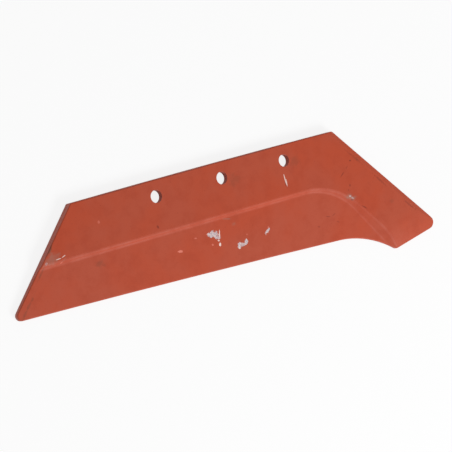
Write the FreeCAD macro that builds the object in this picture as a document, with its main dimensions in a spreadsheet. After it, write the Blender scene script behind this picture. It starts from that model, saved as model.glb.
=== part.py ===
"""A forged plough share with a chisel nose, as one solid.

The share lies on its flat working face with its rear face, which seats on the plough's
frog, turned up.  X runs along the line of bolt holes from the wing to the nose, Y from the
cutting edge to the back edge, and Z from the working face to the rear face.  It is drawn
about the middle bolt hole, and then placed with the origin under the middle of the whole.
"""
import FreeCAD, Part
import math
import os
import re

import Sketcher

Vector = FreeCAD.Vector

# The driving dimensions: lengths in millimetres, angles in degrees.
SIZES = {
    # bolt holes
    "hole_count": 3,
    "hole_pitch": 80,
    "hole_diameter": 13,
    "countersink_diameter": 21,
    "countersink_angle": 90,
    # outline, seen from the rear
    "hole_line_to_back_edge": 16,
    "middle_hole_to_wing_corner": 174,
    "middle_hole_to_landside_corner": 150.5,
    "back_edge_bow": 0.8,
    "wing_end_width": 94,
    "wing_end_angle": 47.2,
    "cutting_edge_taper": 3,
    "cutting_edge_hollow": 0.9,
    "landside_width": 130,
    "landside_angle": 48.6,
    "nose_end_length": 64,
    "nose_end_angle": 11,
    "notch_radius": 130,
    "wing_corner_radius": 2,
    "wing_tip_radius": 5,
    "nose_heel_radius": 3,
    "nose_corner_radius": 7,
    "landside_corner_radius": 4,
    # section
    "plate_thickness": 10,
    "blade_root_thickness": 7.6,
    "cutting_edge_thickness": 4.4,
    "crease_to_back_edge": 55.3,
    "crease_taper": 0.5,
    "crease_bend_radius": 78,
    "crease_arm_angle": 54,
    "crease_heel_offset": 4,
    "crease_wall_angle": 35,
    "crease_crest_radius": 4.5,
    "crease_root_radius": 4.5,
    "crease_blend_share": 0.45,
    "nose_bevel_length": 36,
    "nose_bevel_radius": 130,
    "landside_bevel_width": 5,
    "landside_bevel_depth": 1.4,
    "rear_arris_radius": 1.2,
    "face_arris_radius": 0.8,
    # metal outside the finished outline, which is cropped off
    "crop_allowance": 2,
}

# Places and slopes that follow from them, measured from the middle bolt hole.
DERIVED = {
    "back_y": "[hole_line_to_back_edge]",
    "wing_x": "-[middle_hole_to_wing_corner]",
    "landside_x": "[middle_hole_to_landside_corner]",
    "tip_x": "[wing_x] - [wing_end_width] / tan([wing_end_angle])",
    "tip_y": "[back_y] - [wing_end_width]",
    "nose_x": "[landside_x] + [landside_width] / tan([landside_angle])",
    "nose_y": "[back_y] - [landside_width]",
    "heel_x": "[nose_x] - [nose_end_length] * cos([nose_end_angle])",
    "heel_y": "[nose_y] - [nose_end_length] * sin([nose_end_angle])",
    # the nose heel, along and below the line of the cutting edge from the wing tip
    "heel_run": "([heel_x] - [tip_x]) * cos([cutting_edge_taper])"
                " + ([tip_y] - [heel_y]) * sin([cutting_edge_taper])",
    "heel_drop": "([tip_y] - [heel_y]) * cos([cutting_edge_taper])"
                 " - ([heel_x] - [tip_x]) * sin([cutting_edge_taper])",
    # the notch leaves the cutting edge on a tangent and ends at the nose heel
    "edge_length": "[heel_run] - sqrt([heel_drop] * (2 * [notch_radius] - [heel_drop]))",
    "notch_x": "[tip_x] + [edge_length] * cos([cutting_edge_taper])",
    "notch_y": "[tip_y] - [edge_length] * sin([cutting_edge_taper])",
    "back_length": "[landside_x] - [wing_x]",
    "back_radius": "[back_length]^2 / (8 * [back_edge_bow]) + [back_edge_bow] / 2",
    "edge_radius": "[edge_length]^2 / (8 * [cutting_edge_hollow]) + [cutting_edge_hollow] / 2",
    # the blade falls from the foot of the crease to the cutting edge
    "crease_y": "[back_y] - [crease_to_back_edge]",
    "edge_y": "[tip_y] + [tip_x] * tan([cutting_edge_taper])",
    "blade_fall": "atan(([blade_root_thickness] - [cutting_edge_thickness])"
                  " / ([crease_y] - [edge_y]))",
    # the crease is lowest along the blade, or where the nose bevel meets the bar's front
    "front_thickness": "[plate_thickness] - [bevel_drop]",
    "front_blade_thickness": "[blade_root_thickness]"
                             " - ([crease_y] - [bar_front]) * tan([blade_fall])",
    "lowest_step": "min([plate_thickness] - [blade_root_thickness];"
                   " [front_thickness] - [front_blade_thickness])",
    "widest_blend": "[crease_blend_share] * [lowest_step]"
                    " / (sin([crease_wall_angle]) * tan([crease_wall_angle] / 2))",
    # the rough bar that the share is cropped from
    "bar_left": "[tip_x] - [crop_allowance]",
    "bar_right": "[nose_x] + [crop_allowance]",
    "bar_back": "[back_y] + [crop_allowance]",
    "bar_front": "[heel_y] - [crop_allowance]",
    "bar_length": "2 * max([bar_right]; -[bar_left])",
    "bevel_y": "[heel_y] + [nose_bevel_length]",
    "bevel_drop": "[nose_bevel_radius] - sqrt([nose_bevel_radius]^2"
                  " - ([nose_bevel_length] + [crop_allowance])^2)",
    # the foot of the crease, on the plane of the blade, from where it crosses X = 0
    "heel_v": "([heel_y] - [crease_y]) / cos([blade_fall])",
    "arm_x": "[heel_x] - [crease_heel_offset]",
    "front_v": "([bar_front] - [crop_allowance] - [crease_y]) / cos([blade_fall])",
    "corner_x": "([arm_x] * tan([crease_arm_angle]) + [heel_v])"
                " / (tan([crease_arm_angle]) - tan([crease_taper]))",
    "corner_v": "-[corner_x] * tan([crease_taper])",
    "bend_reach": "[crease_bend_radius] * tan(([crease_arm_angle] - [crease_taper]) / 2)",
    "bend_start_x": "[corner_x] - [bend_reach] * cos([crease_taper])",
    "bend_start_v": "[corner_v] + [bend_reach] * sin([crease_taper])",
    "bend_end_x": "[corner_x] + [bend_reach] * cos([crease_arm_angle])",
    "bend_end_v": "[corner_v] - [bend_reach] * sin([crease_arm_angle])",
    "arm_end_x": "[bend_end_x] + ([bend_end_v] - [front_v]) / tan([crease_arm_angle])",
    "left_v": "[bar_length] * tan([crease_taper])",
    # the bevel along the landside, across its own edge
    "landside_line": "[landside_x] * sin([landside_angle]) + [back_y] * cos([landside_angle])",
    "landside_slope": "[landside_bevel_depth] / [landside_bevel_width]",
    "bevel_in": "[landside_line] - [landside_bevel_width]",
    "bevel_out": "[landside_line] + [crop_allowance]",
    "above": "[plate_thickness] + [crop_allowance]",
}


# By the Z of their normals, faces are level above the first of these and sides below the
# second, and the crease wall is between them.
LEVEL_ABOVE = 0.95
SIDE_BELOW = 0.2
# A sketch is turned this far to begin with, which keeps its axis until an expression
# sets the angle.
FIRST_TURN = 1


def bound(text):
    """The expression with each [name] read from the spreadsheet or worked out from it."""
    def swap(match):
        name = match.group(1)
        return f"Sizes.{name}" if name in SIZES else f"({bound(DERIVED[name])})"
    return re.sub(r"\[(\w+)\]", swap, text)


def number(item, text):
    """The present value of an expression, as a plain number."""
    value = item.evalExpression(bound(text))
    return float(getattr(value, "Value", value))


def make_sheet(doc):
    sheet = doc.addObject("Spreadsheet::Sheet", "Sizes")
    for row, (name, value) in enumerate(SIZES.items(), start=1):
        sheet.set(f"A{row}", name)
        sheet.set(f"B{row}", str(value))
        sheet.setAlias(f"B{row}", name)
    doc.recompute()


def sketch_on(body, role, name, turn_axis=None, bindings=None):
    """A sketch on one of the body's own planes; bindings move or turn it by expressions."""
    plane = [item for item in body.Origin.OriginFeatures if item.Role == role][0]
    sketch = body.newObject("Sketcher::SketchObject", name)
    sketch.AttachmentSupport = [(plane, "")]
    sketch.MapMode = "FlatFace"
    if turn_axis is not None:
        sketch.AttachmentOffset = FreeCAD.Placement(Vector(), FreeCAD.Rotation(turn_axis, FIRST_TURN))
    for path, text in (bindings or {}).items():
        sketch.setExpression(f"AttachmentOffset.{path}", bound(text))
    body.Document.recompute()
    return sketch


def bind(sketch, text, kind, *where):
    """Add one dimension to a sketch and bind it to an expression."""
    index = sketch.addConstraint(Sketcher.Constraint(kind, *where, number(sketch, text)))
    sketch.setExpression(f"Constraints[{index}]", bound(text))


def draw_loop(sketch, corners, roundings=None):
    """Draw a closed loop through corners, each (x, y, arc), with x and y as expressions.

    arc is None where a straight line goes on to the next corner.  Otherwise it is the
    arc's radius, with a minus sign where the loop turns to the right along it.
    roundings gives the radii of the corners that are rounded off, by their index.
    """
    places = [Vector(number(sketch, x), number(sketch, y), 0) for x, y, _ in corners]
    first = sketch.GeometryCount
    ends = []
    for index, (_, _, arc) in enumerate(corners):
        start, end = places[index], places[(index + 1) % len(corners)]
        right = arc is not None and arc.startswith("-")
        ends.append((2, 1) if right else (1, 2))
        if arc is None:
            sketch.addGeometry(Part.LineSegment(start, end))
        else:
            sketch.addGeometry(short_arc(start, end, number(sketch, arc.lstrip("-")), right))
    for index, (x, y, arc) in enumerate(corners):
        before = (first + (index - 1) % len(corners), ends[index - 1][1])
        after = (first + index, ends[index][0])
        if arc is not None:
            bind(sketch, arc.lstrip("-"), "Radius", first + index)
        if roundings and index in roundings:
            corner = round_corner(sketch, places[index], before, after, roundings[index])
        else:
            sketch.addConstraint(Sketcher.Constraint("Coincident", *before, *after))
            corner = after
        bind(sketch, x, "DistanceX", -1, 1, *corner)
        bind(sketch, y, "DistanceY", -1, 1, *corner)


def round_corner(sketch, place, before, after, rounding):
    """Round the corner between two ends, and return the point kept where they would meet."""
    radius = number(sketch, rounding)
    leaving = []
    for item, end in (before, after):
        curve = sketch.Geometry[item]
        if end == 1:
            leaving.append(curve.tangent(curve.FirstParameter)[0])
        else:
            leaving.append(-curve.tangent(curve.LastParameter)[0])
    reach = radius / math.tan(leaving[0].getAngle(leaving[1]) / 2)
    start, end = [place + direction * reach for direction in leaving]
    arc = sketch.addGeometry(short_arc(start, end, radius, False))
    point = sketch.addGeometry(Part.Point(place), True)
    for item, _ in (before, after):
        sketch.addConstraint(Sketcher.Constraint("PointOnObject", point, 1, item))
    sketch.addConstraint(Sketcher.Constraint("Tangent", *before, arc, 1))
    sketch.addConstraint(Sketcher.Constraint("Tangent", arc, 2, *after))
    bind(sketch, rounding, "Radius", arc)
    return point, 1


def short_arc(start, end, radius, right):
    """The shorter arc of a radius from start to end, turning left unless right is set."""
    chord = end - start
    middle = (start + end) / 2
    side = Vector(-chord.y, chord.x, 0).normalize() * (-1 if right else 1)
    centre = middle + side * math.sqrt(radius ** 2 - chord.Length ** 2 / 4)
    low, high = (end, start) if right else (start, end)
    angles = [math.atan2(point.y - centre.y, point.x - centre.x) for point in (low, high)]
    circle = Part.Circle(centre, Vector(0, 0, 1), radius)
    return Part.ArcOfCircle(circle, angles[0], angles[1])


def make_bar(body):
    """The bar before cropping: flat, with its front rolled down where the nose will be."""
    section = sketch_on(body, "YZ_Plane", "BarSection")
    draw_loop(section, [
        ("[bar_front]", "0", None),
        ("[bar_back]", "0", None),
        ("[bar_back]", "[plate_thickness]", None),
        ("[bevel_y]", "[plate_thickness]", "[nose_bevel_radius]"),
        ("[bar_front]", "[front_thickness]", None),
    ])
    bar = body.newObject("PartDesign::Pad", "Bar")
    bar.Profile = section
    bar.setExpression("Length", bound("[bar_length]"))
    bar.Midplane = True
    body.Document.recompute()


def make_blade(body):
    """Thin the blade below the crease, which bends down the nose beside the landside."""
    plan = sketch_on(body, "XY_Plane", "BladePlan", Vector(1, 0, 0), {
        "Base.y": "[crease_y]",
        "Base.z": "[blade_root_thickness]",
        "Rotation.Angle": "[blade_fall]",
    })
    draw_loop(plan, [
        ("-[bar_length]", "[front_v]", None),
        ("[arm_end_x]", "[front_v]", None),
        ("[bend_end_x]", "[bend_end_v]", "[crease_bend_radius]"),
        ("[bend_start_x]", "[bend_start_v]", None),
        ("-[bar_length]", "[left_v]", None),
    ])
    blade = body.newObject("PartDesign::Pocket", "Blade")
    blade.Profile = plan
    blade.setExpression("Length", bound("[plate_thickness]"))
    blade.setExpression("TaperAngle", bound("90 - [crease_wall_angle]"))
    blade.Reversed = True
    body.Document.recompute()


def face_normal(face):
    """The outward normal at the middle of a face."""
    low_u, high_u, low_v, high_v = face.ParameterRange
    return face.normalAt((low_u + high_u) / 2, (low_v + high_v) / 2)


def wall_edges(shape, at_top):
    """Names of the edges along the top, or along the foot, of the sloping crease wall."""
    walls = [face for face in shape.Faces if SIDE_BELOW < face_normal(face).z < LEVEL_ABOVE]
    names = []
    for index, edge in enumerate(shape.Edges, start=1):
        beside = shape.ancestorsOfType(edge, Part.Face)
        on_wall = [wall for wall in walls if any(wall.isSame(face) for face in beside)]
        level = [face for face in beside if face_normal(face).z >= LEVEL_ABOVE]
        if len(on_wall) == 1 and len(level) == 1:
            if (edge.CenterOfMass.z > on_wall[0].CenterOfMass.z) == at_top:
                names.append(f"Edge{index}")
    return names


def round_edges(body, name, edges, radius):
    """Round the named edges of the body's last feature."""
    base = body.Tip
    fillet = body.newObject("PartDesign::Fillet", name)
    fillet.Base = (base, edges)
    fillet.setExpression("Radius", bound(radius))
    body.Document.recompute()
    body.Tip = fillet


def blend_crease(body):
    """Blend the crease wall into the blade at its foot and into the rear face at its top."""
    for name, at_top, radius in (
        ("CreaseRoot", False, "[crease_root_radius]"),
        ("CreaseCrest", True, "[crease_crest_radius]"),
    ):
        edges = wall_edges(body.Tip.Shape, at_top)
        round_edges(body, name, edges, f"min({radius}; [widest_blend])")


def bevel_landside(body):
    """Slope the rear face down to the landside."""
    section = sketch_on(body, "YZ_Plane", "LandsideSection", Vector(0, 1, 0), {
        "Rotation.Angle": "-[landside_angle]",
    })
    draw_loop(section, [
        ("[bevel_in]", "[plate_thickness]", None),
        ("[bevel_out]", "[plate_thickness] - [landside_slope] * ([bevel_out] - [bevel_in])", None),
        ("[bevel_out]", "[above]", None),
        ("[bevel_in]", "[above]", None),
    ])
    bevel = body.newObject("PartDesign::Pocket", "LandsideBevel")
    bevel.Profile = section
    bevel.Type = "ThroughAll"
    bevel.Midplane = True
    body.Document.recompute()


def crop(body):
    """Crop the bar to the share's outline, with its corners rounded."""
    outline = sketch_on(body, "XY_Plane", "Outline")
    draw_loop(outline, [
        ("[tip_x]", "[tip_y]", "-[edge_radius]"),
        ("[notch_x]", "[notch_y]", "-[notch_radius]"),
        ("[heel_x]", "[heel_y]", None),
        ("[nose_x]", "[nose_y]", None),
        ("[landside_x]", "[back_y]", "[back_radius]"),
        ("[wing_x]", "[back_y]", None),
    ], {
        0: "[wing_tip_radius]",
        2: "[nose_heel_radius]",
        3: "[nose_corner_radius]",
        4: "[landside_corner_radius]",
        5: "[wing_corner_radius]",
    })
    draw_loop(outline, [
        ("-[bar_length]", "[bar_front] - [crop_allowance]", None),
        ("[bar_length]", "[bar_front] - [crop_allowance]", None),
        ("[bar_length]", "[bar_back] + [crop_allowance]", None),
        ("-[bar_length]", "[bar_back] + [crop_allowance]", None),
    ])
    cropped = body.newObject("PartDesign::Pocket", "Cropped")
    cropped.Profile = outline
    cropped.Type = "ThroughAll"
    cropped.Midplane = True
    body.Document.recompute()


def rim_edges(shape, on_rear):
    """Names of the edges round the rear, or round the working face."""
    names = []
    for index, edge in enumerate(shape.Edges, start=1):
        normals = [face_normal(face).z for face in shape.ancestorsOfType(edge, Part.Face)]
        sides = [z for z in normals if abs(z) < SIDE_BELOW]
        faces = [z for z in normals if (z > SIDE_BELOW if on_rear else z < -SIDE_BELOW)]
        if len(sides) == 1 and len(faces) == 1:
            names.append(f"Edge{index}")
    return names


def round_arrises(body):
    """Take the sharpness off the rims."""
    round_edges(body, "FaceArris", rim_edges(body.Tip.Shape, False), "[face_arris_radius]")
    round_edges(body, "RearArris", rim_edges(body.Tip.Shape, True), "[rear_arris_radius]")


def make_holes(body):
    """Bolt holes in a line, countersunk on the working face."""
    centre = sketch_on(body, "XY_Plane", "HoleCentre")
    radius = number(body, "[hole_diameter]") / 2
    index = centre.addGeometry(Part.Circle(Vector(), Vector(0, 0, 1), radius))
    bind(centre, "[hole_diameter]", "Diameter", index)
    bind(centre, "-[hole_pitch] * ([hole_count] - 1) / 2", "DistanceX", -1, 1, index, 3)
    centre.addConstraint(Sketcher.Constraint("PointOnObject", index, 3, -1))
    body.Document.recompute()
    hole = body.newObject("PartDesign::Hole", "BoltHole")
    hole.Profile = centre
    hole.Threaded = False
    hole.Reversed = True
    hole.DepthType = "ThroughAll"
    hole.HoleCutType = "Countersink"
    hole.setExpression("Diameter", bound("[hole_diameter]"))
    hole.HoleCutCustomValues = True
    hole.setExpression("HoleCutDiameter", bound("[countersink_diameter]"))
    hole.setExpression("HoleCutCountersinkAngle", bound("[countersink_angle]"))
    body.Document.recompute()
    row = body.newObject("PartDesign::LinearPattern", "BoltHoles")
    row.Originals = [hole]
    row.Direction = (centre, ["H_Axis"])
    row.Mode = "Spacing"
    row.setExpression("Offset", bound("[hole_pitch]"))
    row.setExpression("Occurrences", bound("[hole_count]"))
    body.Tip = row
    body.Document.recompute()


def place(body):
    """Put the origin under the middle of the share."""
    box = body.Shape.optimalBoundingBox(False, False)
    body.Placement.Base = Vector(-box.Center.x, -box.Center.y, -box.ZMin)
    body.Document.recompute()


def check(doc, bodies):
    """Stop if any feature failed or any sub-part isn't one sound solid."""
    for item in doc.Objects:
        if "Invalid" in item.State or "Error" in item.State:
            raise RuntimeError(f"{item.Name} failed: {item.State}")
    for body in bodies:
        shape = body.Shape
        if shape.isNull() or not shape.isValid() or len(shape.Solids) != 1:
            raise RuntimeError(f"{body.Label} isn't one sound solid")


def main():
    doc = FreeCAD.newDocument("PloughShare")
    make_sheet(doc)
    share = doc.addObject("PartDesign::Body", "PloughShare")
    share.Label = "plough_share"
    make_bar(share)
    make_blade(share)
    blend_crease(share)
    crop(share)
    round_arrises(share)
    bevel_landside(share)
    make_holes(share)
    place(share)
    check(doc, [share])
    os.makedirs("parts", exist_ok=True)
    share.Shape.exportStep(f"parts/{share.Label}.step")


main()
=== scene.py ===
"""A plough share in chipped red oxide paint, lying on a pale floor.

The share's solid comes from the frame.  This script gives it its paint, with the wear and
damage on it and some shade painted along its rims and creases, and sets up the floor, the light
and the camera.
"""

import math

import bpy
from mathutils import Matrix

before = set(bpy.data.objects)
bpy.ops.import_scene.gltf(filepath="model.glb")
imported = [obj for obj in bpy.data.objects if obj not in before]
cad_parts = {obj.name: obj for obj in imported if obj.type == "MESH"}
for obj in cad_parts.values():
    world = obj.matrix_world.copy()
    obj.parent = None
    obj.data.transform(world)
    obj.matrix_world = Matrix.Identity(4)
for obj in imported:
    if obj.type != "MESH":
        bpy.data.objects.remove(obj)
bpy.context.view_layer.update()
scene = bpy.context.scene

MM = 0.001


def srgb(red, green, blue):
    """A colour given from 0 to 255 as the eye sees it, as the linear colour nodes take."""
    linear = []
    for value in (red, green, blue):
        value /= 255
        linear.append(value / 12.92 if value <= 0.04045 else ((value + 0.055) / 1.055) ** 2.4)
    return (*linear, 1.0)


# Colours of the paint, what lies on it, the painted shade and what shows where it has gone.
PAINT = srgb(176, 70, 42)
PAINT_FADED = srgb(173, 75, 51)
PAINT_DEEP = srgb(160, 60, 36)
EDGE_PAINT = srgb(186, 112, 100)
# Dark brown for painted shade along the wing end's rims and under the crease, and for darker
# patches.
SHADE_AND_PATCH_BROWN = srgb(98, 60, 42)
# Dark spots in the paint, and the tone of painted shade lines at a fold and inside the landside
# edge.
SHADE_AND_SPOT_DARK = srgb(92, 34, 26)
SCUFF = srgb(150, 112, 98)
BARE = srgb(178, 164, 170)
BRIGHT = srgb(232, 206, 198)
UNDERCOAT = srgb(218, 122, 104)

# How many times each noise repeats in a metre.
CLOUD_SCALE = 14.0
WAVE_SCALE = 32.0
MOTTLE_SCALE = 75.0
COARSE_SCALE = 170.0
RAGGED_SCALE = 420.0
SPECK_SCALE = 520.0
PATCH_SCALE = 700.0
GRAIN_SCALE = 900.0
# How far noise pushes the outline of a mark in and out, and the noise's middle value.
RAGGEDNESS = 3.2
MIDDLE = 0.5
# A mark has faded out at this share of its reach.
FADED_OUT = 1.05

# Light and floor: how bright the world is, how much of the floor is plain white to the
# camera, how far it reaches each way and how far it lies below the share, in metres.
WORLD_STRENGTH = 0.5
FLOOR_WHITENESS = 0.85
FLOOR_REACH = 6.0
FLOOR_GAP = 0.3 * MM

# Marks on the rear face, in millimetres and degrees: x, y, half length, half width, turn
# from X, raggedness, strength.
CHIPS = [
    (-26.6, 2.0, 7.0, 3.4, -14, 0.75, 1.0),
    (-22.4, -2.2, 4.0, 2.0, -20, 0.6, 0.9),
    (1.9, -16.8, 2.1, 3.6, -14, 0.6, 1.0),
    (6.3, -16.6, 4.0, 1.9, -6, 0.7, 0.85),
    (10.9, -15.2, 2.2, 3.2, -22, 0.5, 1.0),
    (39.4, -11.1, 4.2, 1.6, 34, 0.7, 0.95),
    (-216.4, 21.5, 1.8, 1.4, 20, 0.5, 0.35),
    (151.3, -1.2, 1.6, 1.1, -20, 0.5, 0.65),
    (153.9, -3.9, 1.7, 0.9, -40, 0.5, 0.6),
]
SCRATCHES = [
    (-18.9, 0.6, 4.6, 0.65, 76, 0.25, 1.0),
    (-21.6, -5.6, 1.5, 0.9, -14, 0.4, 0.8),
    (-20.7, -9.9, 2.0, 1.3, 80, 0.35, 1.0),
    (73.8, 35.6, 6.0, 0.6, 92, 0.25, 0.95),
    (74.8, 31.4, 4.2, 0.5, 84, 0.25, 0.9),
    (-202.8, 22.7, 3.4, 0.42, 3, 0.2, 0.9),
    (-197.0, 23.8, 2.6, 0.42, 20, 0.2, 0.9),
    (1.3, -19.2, 1.2, 1.0, 0, 0.4, 0.9),
]
UNDERCOAT_CHIPS = [
    (-68.4, -5.0, 3.2, 1.4, -12, 0.5, 0.95),
    (-29.6, -8.0, 1.0, 1.3, 70, 0.4, 0.7),
    (-47.9, 3.4, 1.6, 0.8, -14, 0.4, 0.55),
    (13.7, -8.2, 0.8, 0.8, 0, 0.3, 0.5),
    (-151.4, 46.0, 1.7, 1.5, 0, 0.5, 0.4),
    (-33.2, 3.6, 1.7, 1.1, -14, 0.5, 0.6),
    (41.5, -7.6, 1.2, 1.0, 30, 0.5, 0.5),
    (-200.5, 18.6, 1.4, 0.7, 30, 0.5, 0.5),
]
# Dark spots in the paint, with painted shade lines at a fold and inside the landside edge.
SHADE_LINES_AND_SPOTS = [
    (162.3, 35.4, 1.2, 1.1, 0, 0.4, 0.85),
    (154.3, 9.7, 1.7, 1.1, 60, 0.4, 0.6),
    (151.0, 5.6, 1.2, 0.8, 60, 0.4, 0.45),
    (166.8, -17.2, 4.0, 1.0, -38, 0.5, 0.55),
    # These two rows paint shade along the fold where the nose arm starts.
    (147.6, 23.2, 4.2, 0.8, 36, 0.4, 0.55),
    (155.8, 29.4, 2.8, 0.6, 40, 0.4, 0.35),
    (-88.7, 25.2, 1.3, 2.2, 20, 0.5, 0.55),
    (119.6, -15.6, 4.0, 0.8, -16, 0.5, 0.45),
    (128.0, -15.2, 3.4, 0.7, 22, 0.5, 0.35),
    (131.0, -24.0, 2.6, 0.8, -34, 0.5, 0.35),
    (152.8, -5.6, 2.0, 0.8, -30, 0.5, 0.6),
    (73.0, 30.6, 4.2, 0.5, 88, 0.3, 0.7),
    (104.6, -23.0, 2.4, 1.0, -14, 0.6, 0.3),
    (170.5, -56.0, 1.4, 0.8, -50, 0.5, 0.5),
    # These three rows paint a shade line along the inside of the landside edge.
    (168.0, 38.2, 18.0, 1.5, -48, 0.7, 0.22),
    (195.5, 6.2, 13.0, 1.5, -49, 0.7, 0.32),
    (227.5, -29.0, 11.0, 1.5, -49, 0.7, 0.32),
]
SCUFFS = [
    (152.1, -2.6, 8.4, 4.2, -30, 0.8, 0.6),
    (-6.5, 13.2, 6.4, 1.1, -14, 0.5, 0.55),
    (-209.5, 24.0, 11.0, 7.0, 20, 0.8, 0.45),
    (1.0, 6.2, 3.4, 2.4, 10, 0.8, 0.3),
    (-197.6, 20.5, 5.0, 1.2, 28, 0.6, 0.4),
]
# Painted shade along the wing end's edge and under the crease, and darker patches by two holes
# and near the nose.
SHADE_AND_DARK_PATCHES = [
    # These three rows paint shade along the wing end's edge.
    (-207.5, 37.0, 15.0, 2.4, 53, 0.8, 0.75),
    (-223.5, 13.5, 10.0, 1.7, 47, 0.7, 0.45),
    (-247.5, -17.0, 26.0, 1.8, 47, 0.8, 0.35),
    # This row paints shade under the left end of the crease.
    (-159.8, 6.6, 7.0, 5.0, -14, 0.8, 0.3),
    # Darker patches beside two of the holes and near the nose.
    (12.0, 49.6, 10.0, 8.0, -10, 0.8, 0.22),
    (91.0, 51.2, 9.0, 8.0, -10, 0.8, 0.22),
    (172.0, 34.0, 4.0, 3.0, -40, 0.8, 0.3),
    (205.0, -20.0, 5.0, 3.5, 30, 0.8, 0.2),
]


class Graph:
    """Adds nodes to a node tree; sockets, numbers and tuples can all be inputs."""

    def __init__(self, tree):
        self.tree = tree
        tree.nodes.clear()

    def node(self, kind, inputs=None, **settings):
        node = self.tree.nodes.new(kind)
        for name, value in settings.items():
            setattr(node, name, value)
        for name, value in (inputs or {}).items():
            self.feed(node.inputs[name], value)
        return node

    def feed(self, socket, value):
        if isinstance(value, bpy.types.NodeSocket):
            self.tree.links.new(value, socket)
        else:
            socket.default_value = value

    def math(self, operation, *values):
        node = self.node("ShaderNodeMath", operation=operation)
        for socket, value in zip(node.inputs, values):
            self.feed(socket, value)
        return node.outputs[0]

    def mix(self, factor, first, second):
        node = self.node("ShaderNodeMix", data_type="RGBA")
        for socket, value in zip((node.inputs[0], node.inputs[6], node.inputs[7]),
                                 (factor, first, second)):
            self.feed(socket, value)
        return node.outputs[2]

    def noise(self, place, scale, detail=3.0, roughness=0.55):
        return self.node("ShaderNodeTexNoise", {
            "Vector": place, "Scale": scale, "Detail": detail, "Roughness": roughness,
        }).outputs[0]

    def step(self, value, low, high, start=0.0, end=1.0):
        """Goes smoothly from start to end as value goes from low to high."""
        return self.node("ShaderNodeMapRange", {
            "Value": value, "From Min": low, "From Max": high, "To Min": start, "To Max": end,
        }, interpolation_type="SMOOTHSTEP").outputs[0]

    def seen(self):
        """1 for what the camera sees straight on, in a reflection or through glass."""
        path = self.node("ShaderNodeLightPath").outputs
        direct = self.math("MAXIMUM", path["Is Camera Ray"], path["Is Glossy Ray"])
        return self.math("MAXIMUM", direct, path["Is Transmission Ray"])

    def marks(self, place, edge, table, core=0.8):
        """One mask for a table of marks, whose outlines the noise in edge makes ragged.

        A mark is at full strength out to core, as a share of its reach, and then fades.
        """
        total = None
        for x, y, length, width, turn, ragged, strength in table:
            spot = self.node("ShaderNodeMapping", {
                "Vector": place,
                "Location": (x * MM, y * MM, 0),
                "Rotation": (0, 0, math.radians(turn)),
                "Scale": (length * MM, width * MM, 1),
            }, vector_type="TEXTURE").outputs[0]
            reach = self.node("ShaderNodeVectorMath", {0: spot}, operation="LENGTH").outputs[1]
            uneven = self.math("MULTIPLY_ADD", edge, ragged, reach)
            mark = self.step(uneven, core, FADED_OUT, strength, 0.0)
            total = mark if total is None else self.math("MAXIMUM", total, mark)
        return total


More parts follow.
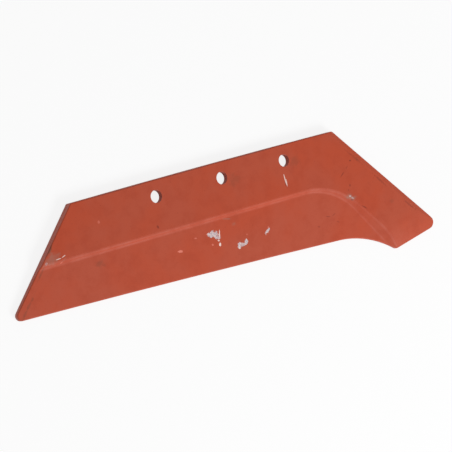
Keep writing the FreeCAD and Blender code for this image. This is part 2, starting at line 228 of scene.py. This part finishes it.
def paint_material(name):
    """Semi-matte red oxide paint, uneven, with painted shade along the rims and creases, chipped
    and scratched.
    """
    material = bpy.data.materials.new(name)
    material.use_nodes = True
    g = Graph(material.node_tree)
    coordinates = g.node("ShaderNodeTexCoord")
    place = coordinates.outputs["Object"]
    flat = g.node("ShaderNodeVectorMath", {0: place, 1: (1, 1, 0)}, operation="MULTIPLY")
    flat = flat.outputs[0]
    normal = g.node("ShaderNodeSeparateXYZ", {0: coordinates.outputs["Normal"]}).outputs

    # Where a point is: on the rear face, or on a side.
    rear = g.step(normal[2], 0.3, 0.7)
    side = g.step(g.math("ABSOLUTE", normal[2]), 0.35, 0.75, 1.0, 0.0)

    # The coat is thin and deep in patches, with fine specks in it.
    cloud = g.noise(place, CLOUD_SCALE, 4.0, 0.6)
    mottle = g.noise(place, MOTTLE_SCALE, 4.0, 0.6)
    grain = g.noise(place, GRAIN_SCALE, 2.0, 0.5)
    colour = g.mix(g.step(cloud, 0.36, 0.64), PAINT, PAINT_FADED)
    colour = g.mix(g.step(mottle, 0.42, 0.72, 0.0, 0.35), colour, PAINT_DEEP)
    colour = g.mix(g.step(grain, 0.55, 0.8, 0.0, 0.35), colour, PAINT_DEEP)
    colour = g.mix(g.math("MULTIPLY", side, 0.6), colour, EDGE_PAINT)

    # Painted shade along the rims, under the crease and at a fold, with darker patches, scuffs
    # and dark spots.
    ragged, coarse = [
        g.math("MULTIPLY_ADD", g.noise(flat, scale, 3.0, 0.65), RAGGEDNESS, -RAGGEDNESS * MIDDLE)
        for scale in (RAGGED_SCALE, COARSE_SCALE)
    ]
    specks = g.step(g.noise(place, SPECK_SCALE, 2.0, 0.5), 0.72, 0.76)
    colour = g.mix(g.math("MULTIPLY", specks, 0.3), colour, SHADE_AND_SPOT_DARK)
    for table, noise, core, tone in (
        (SHADE_AND_DARK_PATCHES, coarse, 0.1, SHADE_AND_PATCH_BROWN),
        (SCUFFS, coarse, 0.1, SCUFF),
        (SHADE_LINES_AND_SPOTS, ragged, 0.4, SHADE_AND_SPOT_DARK),
    ):
        mask = g.math("MULTIPLY", g.marks(flat, noise, table, core), rear)
        colour = g.mix(mask, colour, tone)

    # Chips and scratches go through the coat.
    patchy = g.mix(g.step(g.noise(flat, PATCH_SCALE, 3.0, 0.7), 0.45, 0.62), BARE, BRIGHT)
    chips = g.math("MULTIPLY", g.marks(flat, ragged, CHIPS), rear)
    scratches = g.math("MULTIPLY", g.marks(flat, ragged, SCRATCHES), rear)
    undercoat = g.math("MULTIPLY", g.marks(flat, ragged, UNDERCOAT_CHIPS), rear)
    colour = g.mix(undercoat, colour, UNDERCOAT)
    colour = g.mix(chips, colour, patchy)
    colour = g.mix(scratches, colour, BRIGHT)

    # The coat has a slight orange peel over the forging's waves, and a lip at each chip.
    broken = g.math("MAXIMUM", g.math("MAXIMUM", chips, undercoat), scratches)
    waves = g.node("ShaderNodeBump", {
        "Height": g.noise(place, WAVE_SCALE, 2.0, 0.5), "Strength": 0.3, "Distance": 0.5 * MM,
    })
    peel = g.node("ShaderNodeBump", {
        "Height": grain, "Strength": 0.25, "Distance": 0.08 * MM, "Normal": waves.outputs[0],
    })
    lips = g.node("ShaderNodeBump", {
        "Height": broken, "Strength": 0.8, "Distance": 0.12 * MM, "Normal": peel.outputs[0],
    }, invert=True)
    roughness = g.step(mottle, 0.3, 0.7, 0.5, 0.62)
    surface = g.node("ShaderNodeBsdfPrincipled", {
        "Base Color": colour,
        "Roughness": roughness,
        "Specular IOR Level": 0.18,
        "Normal": lips.outputs[0],
    })
    output = g.node("ShaderNodeOutputMaterial")
    g.feed(output.inputs["Surface"], surface.outputs[0])
    return material


def floor_material():
    """White to the camera and in reflections, and an ordinary pale floor that takes shadow."""
    material = bpy.data.materials.new("floor_white")
    material.use_nodes = True
    g = Graph(material.node_tree)
    seen = g.seen()
    pale = g.node("ShaderNodeBsdfDiffuse", {"Color": (0.8, 0.8, 0.8, 1)})
    glow = g.node("ShaderNodeEmission", {"Color": (1, 1, 1, 1), "Strength": 1.0})
    surface = g.node("ShaderNodeMixShader", {
        0: g.math("MULTIPLY", seen, FLOOR_WHITENESS), 1: pale.outputs[0], 2: glow.outputs[0],
    })
    output = g.node("ShaderNodeOutputMaterial")
    g.feed(output.inputs["Surface"], surface.outputs[0])
    return material


def set_world():
    """A soft, even light from all round, and white to the camera and in reflections."""
    world = bpy.data.worlds.new("studio")
    scene.world = world
    world.use_nodes = True
    g = Graph(world.node_tree)
    seen = g.seen()
    light = g.node("ShaderNodeBackground", {
        "Color": (1, 1, 1, 1), "Strength": WORLD_STRENGTH,
    })
    white = g.node("ShaderNodeBackground", {"Color": (1, 1, 1, 1), "Strength": 1.0})
    both = g.node("ShaderNodeMixShader", {0: seen, 1: light.outputs[0], 2: white.outputs[0]})
    output = g.node("ShaderNodeOutputWorld")
    g.feed(output.inputs["Surface"], both.outputs[0])


def add_lamp(name, place, aim, size, power):
    """A square soft box at place that faces aim."""
    lamp = bpy.data.lights.new(name, "AREA")
    lamp.shape = "SQUARE"
    lamp.size = size
    lamp.energy = power
    item = bpy.data.objects.new(name, lamp)
    scene.collection.objects.link(item)
    item.location = place
    direction = item.location.copy()
    direction.negate()
    for axis in range(3):
        direction[axis] += aim[axis]
    item.rotation_euler = direction.to_track_quat("-Z", "Y").to_euler()


def add_floor(material):
    mesh = bpy.data.meshes.new("floor")
    signs = ((-1, -1), (1, -1), (1, 1), (-1, 1))
    corners = [(x * FLOOR_REACH, y * FLOOR_REACH, -FLOOR_GAP) for x, y in signs]
    mesh.from_pydata(corners, [], [(0, 1, 2, 3)])
    mesh.materials.append(material)
    floor = bpy.data.objects.new("floor", mesh)
    scene.collection.objects.link(floor)


def add_camera():
    """A long lens, from beyond the wing and above, tilted as the share was photographed."""
    camera = bpy.data.cameras.new("camera")
    camera.sensor_width = 36.0
    camera.lens = 125.98
    item = bpy.data.objects.new("camera", camera)
    scene.collection.objects.link(item)
    item.location = (-0.87742, 0.12869, 1.34840)
    item.rotation_euler = [math.radians(turn) for turn in (4.7606, -32.8662, -16.7393)]
    scene.camera = item


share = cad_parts["plough_share"]
paint = paint_material("red_oxide_paint")
share.data.materials.clear()
share.data.materials.append(paint)

scene.view_settings.view_transform = "Standard"
set_world()
add_floor(floor_material())
add_lamp("key", (0.85, -1.55, 1.45), (0.05, 0.0, 0.0), 0.9, 43.0)
add_camera()
